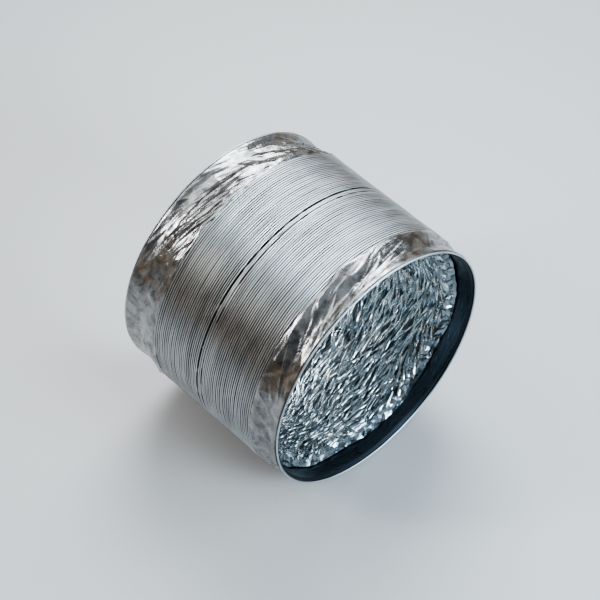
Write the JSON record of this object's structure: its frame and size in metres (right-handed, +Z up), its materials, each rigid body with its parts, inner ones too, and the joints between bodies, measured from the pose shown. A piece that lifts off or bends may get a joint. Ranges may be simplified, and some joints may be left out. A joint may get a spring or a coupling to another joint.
{
  "type": "flexible foil duct with collars",
  "caption": "Wire-reinforced aluminium foil duct, fully compressed, with a flared sheet-metal collar at each end; it draws out and bends.",
  "frame": {"origin": "On the surface it lies on, below the middle of the compressed duct.", "axes": "+Y along the duct from the front mouth to the rear mouth, +Z up, +X to the right when looking into the front mouth along +Y."},
  "size_m": [0.155, 0.122, 0.1542],
  "materials": {
    "collar_sheet": "smooth dark zinc-plated sheet steel, satin, bright at its hemmed rim",
    "foil_ply": "bright crinkled aluminium foil laminate",
    "foil_liner": "crumpled aluminium foil, cooler and a little duller than the outside",
    "spring_wire": "drawn spring-steel wire"
  },
  "bodies": {
    "rear": {"rear_collar": "collar_sheet", "rear_cuff": "foil_ply", "rear_hem": "foil_liner"},
    "turns_01": {"outer_ply_01": "foil_ply", "inner_ply_01": "foil_liner", "wire_01": "spring_wire"},
    "turns_02": {"outer_ply_02": "foil_ply", "inner_ply_02": "foil_liner", "wire_02": "spring_wire"},
    "turns_03": {"outer_ply_03": "foil_ply", "inner_ply_03": "foil_liner", "wire_03": "spring_wire"},
    "turns_04": {"outer_ply_04": "foil_ply", "inner_ply_04": "foil_liner", "wire_04": "spring_wire"},
    "turns_05": {"outer_ply_05": "foil_ply", "inner_ply_05": "foil_liner", "wire_05": "spring_wire"},
    "turns_06": {"outer_ply_06": "foil_ply", "inner_ply_06": "foil_liner", "wire_06": "spring_wire"},
    "turns_07": {"outer_ply_07": "foil_ply", "inner_ply_07": "foil_liner", "wire_07": "spring_wire"},
    "turns_08": {"outer_ply_08": "foil_ply", "inner_ply_08": "foil_liner", "wire_08": "spring_wire"},
    "turns_09": {"outer_ply_09": "foil_ply", "inner_ply_09": "foil_liner", "wire_09": "spring_wire"},
    "turns_10": {"outer_ply_10": "foil_ply", "inner_ply_10": "foil_liner", "wire_10": "spring_wire"},
    "turns_11": {"outer_ply_11": "foil_ply", "inner_ply_11": "foil_liner", "wire_11": "spring_wire"},
    "turns_12": {"outer_ply_12": "foil_ply", "inner_ply_12": "foil_liner", "wire_12": "spring_wire"},
    "turns_13": {"outer_ply_13": "foil_ply", "inner_ply_13": "foil_liner", "wire_13": "spring_wire"},
    "turns_14": {"outer_ply_14": "foil_ply", "inner_ply_14": "foil_liner", "wire_14": "spring_wire"},
    "front": {"front_collar": "collar_sheet", "front_cuff": "foil_ply", "front_hem": "foil_liner"}
  },
  "joints": [
    {"name": "stretch_1", "type": "slide", "parent": "rear", "child": "turns_01", "axis": [0, -1, 0], "range_m": [0, 0.09843]},
    {"name": "bend_1", "type": "hinge", "parent": "turns_01", "child": "turns_02", "pos_m": [-0.0775, 0.02947, 0.07708], "axis": [0, 0, -1], "range_deg": [0, 12.86]},
    {"name": "stretch_2", "type": "slide", "parent": "turns_02", "child": "turns_03", "axis": [0, -1, 0], "range_m": [0, 0.19686]},
    {"name": "bend_2", "type": "hinge", "parent": "turns_03", "child": "turns_04", "pos_m": [-0.0775, 0.01841, 0.07708], "axis": [0, 0, -1], "range_deg": [0, 12.86]},
    {"name": "stretch_3", "type": "slide", "parent": "turns_04", "child": "turns_05", "axis": [0, -1, 0], "range_m": [0, 0.19686]},
    {"name": "bend_3", "type": "hinge", "parent": "turns_05", "child": "turns_06", "pos_m": [-0.0775, 0.00736, 0.07708], "axis": [0, 0, -1], "range_deg": [0, 12.86]},
    {"name": "stretch_4", "type": "slide", "parent": "turns_06", "child": "turns_07", "axis": [0, -1, 0], "range_m": [0, 0.19686]},
    {"name": "bend_4", "type": "hinge", "parent": "turns_07", "child": "turns_08", "pos_m": [-0.0775, -0.0037, 0.07708], "axis": [0, 0, -1], "range_deg": [0, 12.86]},
    {"name": "stretch_5", "type": "slide", "parent": "turns_08", "child": "turns_09", "axis": [0, -1, 0], "range_m": [0, 0.19686]},
    {"name": "bend_5", "type": "hinge", "parent": "turns_09", "child": "turns_10", "pos_m": [-0.0775, -0.01476, 0.07708], "axis": [0, 0, -1], "range_deg": [0, 12.86]},
    {"name": "stretch_6", "type": "slide", "parent": "turns_10", "child": "turns_11", "axis": [0, -1, 0], "range_m": [0, 0.19686]},
    {"name": "bend_6", "type": "hinge", "parent": "turns_11", "child": "turns_12", "pos_m": [-0.0775, -0.02581, 0.07708], "axis": [0, 0, -1], "range_deg": [0, 12.86]},
    {"name": "stretch_7", "type": "slide", "parent": "turns_12", "child": "turns_13", "axis": [0, -1, 0], "range_m": [0, 0.19686]},
    {"name": "bend_7", "type": "hinge", "parent": "turns_13", "child": "turns_14", "pos_m": [-0.0775, -0.03687, 0.07708], "axis": [0, 0, -1], "range_deg": [0, 12.86]},
    {"name": "stretch_8", "type": "slide", "parent": "turns_14", "child": "front", "axis": [0, -1, 0], "range_m": [0, 0.09843]}
  ],
  "couplings": [
    {"joint": "stretch_2", "follows": "stretch_1", "ratio": 2},
    {"joint": "bend_2", "follows": "bend_1", "ratio": 1},
    {"joint": "stretch_3", "follows": "stretch_1", "ratio": 2},
    {"joint": "bend_3", "follows": "bend_1", "ratio": 1},
    {"joint": "stretch_4", "follows": "stretch_1", "ratio": 2},
    {"joint": "bend_4", "follows": "bend_1", "ratio": 1},
    {"joint": "stretch_5", "follows": "stretch_1", "ratio": 2},
    {"joint": "bend_5", "follows": "bend_1", "ratio": 1},
    {"joint": "stretch_6", "follows": "stretch_1", "ratio": 2},
    {"joint": "bend_6", "follows": "bend_1", "ratio": 1},
    {"joint": "stretch_7", "follows": "stretch_1", "ratio": 2},
    {"joint": "bend_7", "follows": "bend_1", "ratio": 1},
    {"joint": "stretch_8", "follows": "stretch_1", "ratio": 1}
  ]
}
